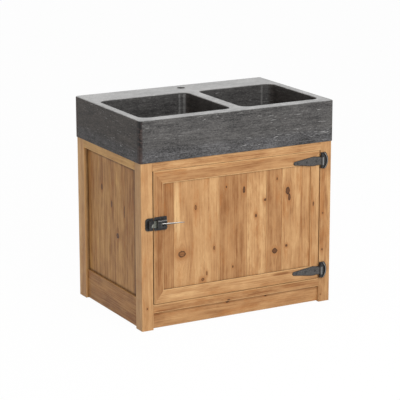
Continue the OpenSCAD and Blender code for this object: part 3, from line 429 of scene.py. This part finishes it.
# Waves a metre along x, y and z, detail, roughness and twist
stoneNoises = {
    "bed": (9.0, 9.0, 90.0, 4.0, 0.62, 0.2),
    "thin": (48.0, 48.0, 330.0, 3.0, 0.60, 0.3),
    "cloud": (9.0, 9.0, 16.0, 4.0, 0.60, 0.0),
    "speckle": (130.0, 130.0, 190.0, 3.0, 0.60, 0.0),
    "grit": (640.0, 640.0, 640.0, 3.0, 0.70, 0.0),
    "scratch": (30.0, 30.0, 300.0, 2.0, 0.50, 0.5),
    "rows": (2.5, 2.5, 34.0, 2.0, 0.55, 0.0),
    "chips": (30.0, 30.0, 75.0, 3.0, 0.60, 0.0),
}
# On the rim: waves a metre along x and y, the level that is cut, detail, roughness and twist
rimNoises = {
    "brushed": (11.0, 150.0, 2.0, 3.0, 0.60, 0.0),
    "blotch": (45.0, 70.0, 3.0, 4.0, 0.70, 0.0),
    "crumbs": (210.0, 210.0, 5.0, 2.0, 0.60, 0.0),
    "veins": (7.0, 18.0, 0.0, 5.0, 0.60, 0.8),
}


# Bedded stone, split and brushed: noises stretched level make the beds, thin pale flecks lie in rows
# along them, and the upright corners on the left are chipped. The rim is honed paler, the bowls are smoother.
def stone(name, box, look=stoneLook):
    s = newShader(name)
    (low, high), (x, y, z), (nx, _, up) = box, s.split("Object"), s.split("Normal")
    n = {kind: s.noise(x * a, y * b, z * c, *kept) for kind, (a, b, c, *kept) in stoneNoises.items()}
    n.update({kind: s.noise(x * a, y * b, *kept) for kind, (a, b, *kept) in rimNoises.items()})

    def total(start, strengths):
        for kind, strength in strengths.items():
            start = start + (n[kind] - 0.5) * strength
        return start

    drop = high.z - z
    fromLeft, fromBack = x - low.x, high.y - y
    fromEnds, fromFaces = fromLeft.math("MINIMUM", high.x - x), (y - low.y).math("MINIMUM", fromBack)

    shade = total(look["shade"], look["contrast"])
    body = s.mix(shade, look["dark"], look["light"])
    # painted shade on the faces turned to the ends
    body = s.mix(abs(nx).fade(0.4, 0.9), body, s.mix(1.0, body, look["ends"], "MULTIPLY"))
    bluish = s.mix(shade + (n["speckle"] - 0.5) * 1.2, look["dark"], look["blue"])
    body = s.mix(drop.fade(*look["foot"]) * look["footShare"], body, bluish)
    flecks = n["scratch"].fade(0.65, 0.71) * n["rows"].fade(0.40, 0.54)
    body = s.mix(flecks * look["fleckShare"], body, look["fleck"])

    chips = n["chips"]
    corner = (fromLeft + chips * look["chipReach"][0]).fade(*look["chipAcross"])
    corner = corner * (fromFaces + chips * look["chipReach"][1]).fade(*look["chipBack"])
    body = s.mix(corner * look["rustShare"], body, look["rust"])
    body = s.mix(corner * chips.fade(0.46, 0.56) * drop.fade(*look["notchDrop"]), body, look["notch"])

    # painted shade inside the bowls
    inside = fromEnds.math("MINIMUM", fromFaces).fade(*look["bowlFrom"]) * drop.fade(*look["bowlDrop"])
    body = s.mix(inside * look["bowlShade"], body, look["dark"])
    # painted reflections: pale upright strips on the bowls' back walls
    for place, share in look["paintedHighlight"]:
        strip = abs(x - place + (n["bed"] - 0.5) * 0.004).fade(*look["stripHalf"])
        strip = strip * (fromBack - look["bowlBack"]).fade(*look["stripDeep"])
        body = s.mix(inside * strip * (n["bed"] + 0.1) * share, body, look["fleck"])

    honed = up.fade(0.40, 0.85) * (drop + (n["speckle"] - 0.5) * 0.006).fade(*look["rimDrop"])
    rim = s.mix(total(0.5, look["rimContrast"]), look["rim"], look["rimPale"])
    rim = s.mix(fromBack.fade(*look["paleBack"]) * look["paleBackShare"], rim, look["rimPale"])
    backLeft = fromLeft.fade(*look["crumbX"]) * fromBack.fade(*look["crumbY"])
    rim = s.mix(n["crumbs"].fade(0.56, 0.66) * backLeft * look["crumbShare"], rim, look["crumb"])
    rim = s.mix(abs(n["veins"] - 0.5).fade(0.018, 0.0) * look["veinShare"], rim, look["vein"])

    smoother = honed * look["honedDrop"] + inside * (look["roughness"] - look["bowlRoughness"])
    relief = n["bed"] * 0.8 + n["thin"] * 0.7 + n["grit"] * 0.25 + n["speckle"] * 0.3 - corner * chips * 0.8
    return s.finish(Base_Color=s.mix(honed, body, rim), Specular_IOR_Level=look["sheen"],
                    Roughness=look["roughness"] - smoother + (n["grit"] - 0.5) * 0.15,
                    Normal=s.bump(relief * (1.0 - honed * 0.85), look["relief"], 0.6))


dress(["stone_sink"], stone("brushed stone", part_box("stone_sink")))
print("stone dressed")


metalLook = {
    # The pale iron, steel and tongue colours are painted highlights; the tongue's also paints the bolt's worn
    # edges.
    "iron": (0.055, 0.054, 0.054), "ironDark": (0.013, 0.013, 0.014), "ironHighlight": (0.330, 0.325, 0.310),
    "strap": (0.120, 0.114, 0.108), "strapDark": (0.030, 0.028, 0.028),
    "steel": (0.170, 0.165, 0.155), "steelDark": (0.030, 0.028, 0.027), "steelHighlight": (0.62, 0.60, 0.56),
    "tongue": (0.300, 0.310, 0.260), "tongueWearAndHighlight": (0.50, 0.51, 0.44),
    "dent": 260.0, "blot": 260.0, "fine": 900.0,    # how many a metre
    "relief": 0.0010,
}
ironLook = {"base": "iron", "dark": "ironDark", "edgeTo": "strap"}
steelLook = {"base": "tongue", "dark": "steelDark", "edgeTo": "tongueWearAndHighlight"}


# Forged and cast pieces with a hammered skin. The edges are found where the surface turned by the Bevel
# node departs from the true one, and turn to edgeTo. The highlight function says where a piece gets a painted
# highlight, from x, z, how far it stands out from the front, and its normal's x and z.
def metal(name, base, dark, edgeTo, edgeShare, highlightColour="ironHighlight", metallic=0.75, roughness=0.48, bevel=0.002,
          paintedHighlight=None, look=metalLook):
    s = newShader(name)
    x, y, z = s.split("Object")
    nx, _, nz = s.split("Normal")
    soft = s.node("ShaderNodeBevel", {"samples": 4}, {"Radius": bevel})
    true = s.node("ShaderNodeNewGeometry", None, (), "Normal")
    same = s.node("ShaderNodeVectorMath", {"operation": "DOT_PRODUCT"}, [soft, true], "Value")
    blot = s.noise(*[axis * look["blot"] for axis in (x, y, z)], 4.0, 0.7)
    fine = s.noise(*[axis * look["fine"] for axis in (x, y, z)], 3.0, 0.65)
    dents = s.cells(*[axis * look["dent"] for axis in (x, y, z)])
    colour = s.mix((blot - 0.5) * 3.0 + 0.60, look[dark], look[base])
    colour = s.mix((1.0 - same).fade(0.010, 0.10) * (blot + 0.25) * edgeShare, colour, look[edgeTo])
    # a painted highlight where the given function puts it
    if paintedHighlight:
        colour = s.mix(paintedHighlight(x, z, frontLeft.y - y, nx, nz) * (blot + 0.35), colour, look[highlightColour])
    return s.finish(Base_Color=colour, Metallic=metallic,
                    Roughness=roughness + (blot - 0.5) * 0.35 + (fine - 0.5) * 0.15,
                    Normal=s.bump(dents * 0.8 + fine * 0.25, look["relief"], 0.5))


# Where each piece gets its painted highlight, in metres
highlightPlaces = {
    "knuckle": (-0.0015, 0.0020), "leafSide": (0.009, 0.015),       # from the middle of the hinge pins
    "leafRim": (0.0080, 0.0088, 0.0092, 0.0100), "caseOut": (0.010, 0.016), "noseOut": (0.008, 0.013),  # out
    "noseSpot": (-0.007, -0.003),       # from the keeper's right edge and the middle of its height
    "noseReach": (0.0085, 0.0030),
}
pinMiddle = (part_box("hinge_pin_upper")[0].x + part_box("hinge_pin_upper")[1].x) / 2


# A painted highlight on the right half of the knuckle
def knuckleHighlight(x, z, out, nx, nz):
    return (x - pinMiddle).fade(*highlightPlaces["knuckle"]) * 1.2


def leafHighlight(x, z, out, nx, nz):  # painted highlight on the flat top of the rim only
    return out.band(*highlightPlaces["leafRim"]) * (x - pinMiddle).fade(*highlightPlaces["leafSide"])


def caseHighlight(x, z, out, nx, nz):  # painted highlight on its outer edges above and towards the keeper
    return out.fade(*highlightPlaces["caseOut"]) * (nz.fade(0.25, 0.75) * 0.6 + nx.fade(-0.3, -0.8) * 0.4)


def noseHighlight(x, z, out, nx, nz):  # painted highlight, a slanting oval on the nose
    (low, high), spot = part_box("keeper"), highlightPlaces["noseSpot"]
    dx, dz = x - (high.x + spot[0]), z - ((low.z + high.z) / 2 + spot[1])
    oval = (dx * dx * 1.3 + dz * dz + dx * dz * -1.2).math("SQRT")
    return out.fade(*highlightPlaces["noseOut"]) * oval.fade(*highlightPlaces["noseReach"]) * 0.9


# A painted highlight on the faces that turn up
def leverHighlight(x, z, out, nx, nz):
    return nz.fade(0.0, 0.6) * 0.4


dress(["hinge_strap_upper", "hinge_strap_lower"],
      metal("mottled strap iron", "strap", "strapDark", "ironDark", 1.2, metallic=0.6, bevel=0.005,
            paintedHighlight=knuckleHighlight))
dress(["hinge_leaf_upper", "hinge_leaf_lower"],
      metal("leaf iron", **ironLook, edgeShare=0.5, paintedHighlight=leafHighlight))
dress(["latch_case"], metal("case iron", **ironLook, edgeShare=0.8, paintedHighlight=caseHighlight))
dress(["keeper"], metal("keeper iron", **ironLook, edgeShare=0.8, highlightColour="tongueWearAndHighlight", paintedHighlight=noseHighlight))
dress([n for n in nodes if n.endswith("_screws") or n.startswith("hinge_pin") or n == "lever_pin"],
      metal("dark screw iron", **ironLook, edgeShare=0.4))
dress(["latch_lever"], metal("lever steel", "steel", "steelDark", "steelDark", 0.3, "steelHighlight", metallic=1.0,
                             roughness=0.36, paintedHighlight=leverHighlight))
dress(["latch_bolt"], metal("bolt steel", **steelLook, edgeShare=0.5, metallic=0.9, roughness=0.42))
thinSteel = metal("thin steel", **steelLook, edgeShare=0.4, metallic=1.0, roughness=0.40)
dress(["latch_back_sheet"], thinSteel)
print("iron and steel dressed")


springLook = {
    "wire": 0.00043,            # radius of the wire in metres
    "turns": 6, "steps": 24, "sides": 8,
    "travel": 0.0062,           # how far the bolt presses it together
    "samples": 600,             # points at which the pressed length is worked out
}


# The latch spring, made in place of the model's own. A circle of the wire's radius is carried along a
# helix. The turns are even when it is pressed: along + travel (1 - w) = travel + (length - travel) t, where
# w = u^2 (3 - 2 u) and u = along / length, so at rest the end turns lie closer than the middle ones.
def pressedSpring(name, node, material, look=springLook):
    low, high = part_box(node)
    wire, travel, sides = look["wire"], look["travel"], look["sides"]
    count = look["turns"] * look["steps"] + 1
    run = high.x - low.x - 2 * wire
    t = np.linspace(0.0, 1.0, count)
    rest = np.linspace(0.0, run, look["samples"])
    u = rest / run
    along = np.interp(travel + (run - travel) * t, rest + travel * (1.0 - u * u * (3.0 - 2.0 * u)), rest)
    turn = 2.0 * np.pi * look["turns"] * t[:, None]
    around = 2.0 * np.pi * np.arange(sides)[None, :] / sides
    radius = (high.z - low.z) / 2 - wire + wire * np.cos(around)
    x = low.x + wire + along[:, None] + wire * np.sin(around)
    y = (low.y + high.y) / 2 + radius * np.cos(turn)
    z = (low.z + high.z) / 2 + radius * np.sin(turn)
    points = np.stack([x, y, z], axis=2).reshape(-1, 3)
    ring, side = np.meshgrid(np.arange(count - 1), np.arange(sides), indexing="ij")
    here, beside = ring * sides + side, (side + 1) % sides - side
    corners = [here, here + sides, here + beside + sides, here + beside]
    faces = np.stack(corners, axis=2).reshape(-1, 4).tolist()
    ends = [list(range(sides)), list(range((count - 1) * sides, count * sides))[::-1]]
    mesh = bpy.data.meshes.new(name)
    mesh.from_pydata(points.tolist(), [], faces + ends)
    mesh.materials.append(material)
    mesh.shade_smooth()
    piece = bpy.data.objects.new(name, mesh)
    bpy.context.scene.collection.objects.link(piece)
    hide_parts(node)
    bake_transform(piece)


pressedSpring("spring_coil", "latch_spring", thinSteel)
print("spring wound")


stageLook = {
    "floorHalf": 14.0, "floorGrey": 0.86,
    "floorShare": 0.97,      # share of plain white that the camera sees in the floor
    "world": 0.46,           # strength of the light from all round
    "lamps": {               # watts, place and size
        "key": (150.0, (0.0, -3.9, 3.0), 2.6),
        "top": (26.0, (0.1, 0.2, 3.4), 2.4),
    },
    "aim": (0.0, 0.0, 0.45),
}
white = (1.0, 1.0, 1.0, 1.0)


def seenDirectly(s):  # camera, glossy and transmission rays
    outputs = s.node("ShaderNodeLightPath").socket.node.outputs
    rays = [Value(s, outputs[kind]) for kind in ("Is Camera Ray", "Is Glossy Ray", "Is Transmission Ray")]
    return rays[0].math("MAXIMUM", rays[1]).math("MAXIMUM", rays[2])


def makeStage(look):
    half, grey = look["floorHalf"], look["floorGrey"]
    corners = [(-half, -half, 0), (half, -half, 0), (half, half, 0), (-half, half, 0)]
    mesh = bpy.data.meshes.new("floor")
    mesh.from_pydata(corners, [], [(0, 1, 2, 3)])
    floor = bpy.data.objects.new("floor", mesh)
    bpy.context.scene.collection.objects.link(floor)
    s = newShader("pale floor")
    lit = s.node("ShaderNodeBsdfDiffuse", None, {"Color": (grey, grey, grey, 1.0)})
    plain = s.node("ShaderNodeEmission", None, {"Color": white, "Strength": 1.0})
    both = s.node("ShaderNodeMixShader", None, [seenDirectly(s) * look["floorShare"], lit, plain])
    mesh.materials.append(s.close(both))

    world = bpy.context.scene.world = bpy.data.worlds.new("studio")
    w = Shader(world)
    strength = look["world"] + (1.0 - look["world"]) * seenDirectly(w)
    light = w.node("ShaderNodeBackground", None, {"Color": white, "Strength": strength})
    w.close(light, "ShaderNodeOutputWorld")

    for name, (power, at, size) in look["lamps"].items():
        lamp = bpy.data.lights.new(name, "AREA")
        lamp.shape, lamp.size, lamp.energy = "DISK", size, power
        made = bpy.data.objects.new(name, lamp)
        bpy.context.scene.collection.objects.link(made)
        made.location = at
        made.rotation_mode = "QUATERNION"
        made.rotation_quaternion = (Vector(look["aim"]) - Vector(at)).to_track_quat("-Z", "Y")


cameraLook = {
    "lens": 162.89, "sensor": 36.0, "clip": (0.5, 60.0),
    "at": (-3.5653, -6.4814, 2.3203), "yaw": -28.634, "pitch": 14.320, "roll": -0.094,
}


def makeCamera(look):
    lens = bpy.data.cameras.new("camera")
    lens.lens, lens.sensor_width = look["lens"], look["sensor"]
    lens.clip_start, lens.clip_end = look["clip"]
    made = bpy.data.objects.new("camera", lens)
    bpy.context.scene.collection.objects.link(made)
    made.location = look["at"]
    yaw, tilt, roll = (math.radians(angle) for angle in (look["yaw"], 90.0 - look["pitch"], look["roll"]))
    turns = [Euler(angles).to_matrix() for angles in ((0.0, 0.0, yaw), (tilt, 0.0, 0.0), (0.0, 0.0, roll))]
    made.rotation_euler = (turns[0] @ turns[1] @ turns[2]).to_euler()
    bpy.context.scene.camera = made


makeStage(stageLook)
makeCamera(cameraLook)
bpy.context.scene.view_settings.view_transform = "Standard"
print("stage, lights and camera made")
